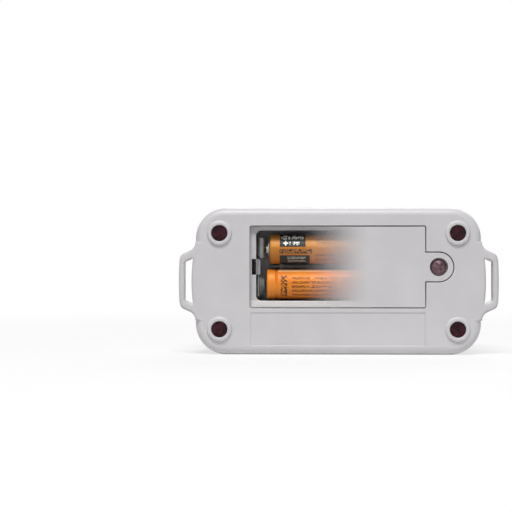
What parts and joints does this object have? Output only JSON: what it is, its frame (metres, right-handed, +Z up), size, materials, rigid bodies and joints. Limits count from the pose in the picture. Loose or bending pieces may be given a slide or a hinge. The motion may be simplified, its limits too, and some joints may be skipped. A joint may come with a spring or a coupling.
{
  "type": "temperature data logger",
  "caption": "Pocket temperature data logger in a pale two-part case with strap lugs, rear magnets, a screw-locked battery cover, and a display with push buttons.",
  "frame": {"origin": "centre of the long lower side that the logger stands on, midway between the rings on its back and the buttons on its front", "axes": "+X along the case towards the screw end of the battery cover, +Y out of the display side (the back with the battery cover faces -Y), +Z up"},
  "size_m": [0.1118, 0.0256, 0.0516],
  "materials": {
    "case_plastic": "fine matte moulded texture",
    "cover_plastic": "fine matte moulded texture",
    "screw_steel": "dark nickel plate",
    "plated_steel": "bright zinc plate",
    "brass": "turned",
    "magnet_nickel": "polished nickel",
    "cell_steel": "bright",
    "cell_sleeve": "printed film",
    "contact_metal": "nickel plate",
    "board": "solder mask",
    "chip": "moulded epoxy",
    "plunger": "satin",
    "start_button": "satin rubber feel",
    "mark_button": "satin rubber feel",
    "diode": "clear epoxy",
    "light_pipe": "polished acrylic",
    "window": "polished acrylic",
    "lcd": "grey-green reflective glass",
    "lcd_frame": "moulded",
    "zebra": "silicone",
    "foam": "closed-cell foam"
  },
  "bodies": {
    "case": {"rear_case": "case_plastic", "front_case": "case_plastic", "threaded_insert": "brass", "magnet_upper_left": "magnet_nickel", "magnet_upper_right": "magnet_nickel", "magnet_lower_left": "magnet_nickel", "magnet_lower_right": "magnet_nickel", "case_screws": "plated_steel", "upper_cell": "cell_steel", "upper_cell_sleeve": "cell_sleeve", "lower_cell": "cell_steel", "lower_cell_sleeve": "cell_sleeve", "positive_contact": "contact_metal", "negative_contact": "contact_metal", "bridge_contact": "contact_metal", "circuit_board": "board", "board_screws": "plated_steel", "microcontroller": "chip", "memory_chip": "chip", "crystal": "plated_steel", "temperature_sensor": "chip", "start_switch": "chip", "mark_switch": "chip", "status_led": "diode", "light_pipe": "light_pipe", "lcd_glass": "lcd", "lcd_frame": "lcd_frame", "zebra_strips": "zebra", "display_gasket": "foam", "display_window": "window"},
    "battery_cover": {"battery_cover": "cover_plastic"},
    "screw_clip": {"screw_clip": "plated_steel"},
    "cover_screw": {"cover_screw": "screw_steel"},
    "start_button": {"start_button": "start_button", "start_plunger": "plunger"},
    "mark_button": {"mark_button": "mark_button", "mark_plunger": "plunger"}
  },
  "joints": [
    {"name": "cover_tilt", "type": "hinge", "parent": "case", "child": "battery_cover", "pos_m": [-0.0299, -0.0112, 0.0308], "axis": [0, 0, -1], "range_deg": [0, 30]},
    {"name": "screw_slide", "type": "slide", "parent": "battery_cover", "child": "screw_clip", "axis": [0, -1, 0], "range_m": [0, 0.0032]},
    {"name": "screw_turn", "type": "hinge", "parent": "screw_clip", "child": "cover_screw", "pos_m": [0.0351, -0.01, 0.0308], "axis": [0, -1, 0], "range_deg": [0, 1440]},
    {"name": "start_press", "type": "slide", "parent": "case", "child": "start_button", "axis": [0, -1, 0], "range_m": [0, 0.0004], "stiffness_N_per_m": 800, "springref_m": -0.0004},
    {"name": "mark_press", "type": "slide", "parent": "case", "child": "mark_button", "axis": [0, -1, 0], "range_m": [0, 0.0004], "stiffness_N_per_m": 800, "springref_m": -0.0004}
  ],
  "couplings": [
    {"joint": "screw_turn", "follows": "screw_slide", "rad_per_m": 7854}
  ]
}
